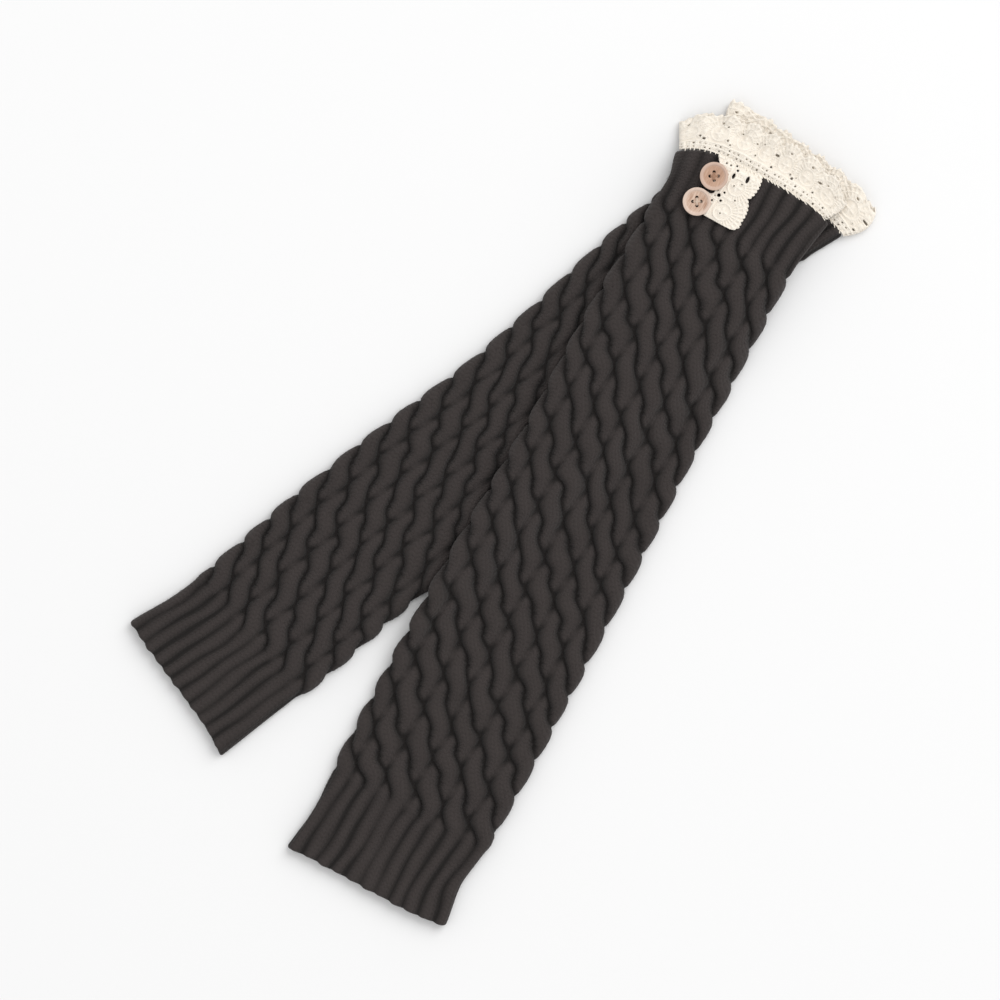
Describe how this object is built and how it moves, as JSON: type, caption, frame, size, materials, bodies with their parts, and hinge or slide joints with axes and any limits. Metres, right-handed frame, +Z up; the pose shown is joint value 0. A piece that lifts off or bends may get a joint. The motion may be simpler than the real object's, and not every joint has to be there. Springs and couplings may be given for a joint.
{
  "type": "pair of cable-knit leg warmers laid flat",
  "caption": "Pair of long cable-knit leg warmers with ribbed ends, ruffled lace tops and a buttoned lace tab, lying flat, one across the other.",
  "frame": {"origin": "middle of the pair's footprint, on the surface that it lies on", "axes": "+Y along the upper leg, from its ribbed hem to its lace top; +Z up; +X to the right with the lace top away"},
  "size_m": [0.2428, 0.4612, 0.0201],
  "materials": {
    "knit": "matte chunky knit, charcoal",
    "lace": "matte cream cotton crochet lace",
    "button_wood": "satin turned wood"
  },
  "bodies": {
    "root": {"upper_leg_knit_tube": "knit", "upper_leg_lace_ruffle": "lace", "upper_leg_lace_tab": "lace", "upper_button": "button_wood", "lower_button": "button_wood", "lower_leg_knit_tube": "knit", "lower_leg_lace_ruffle": "lace"}
  },
  "joints": []
}
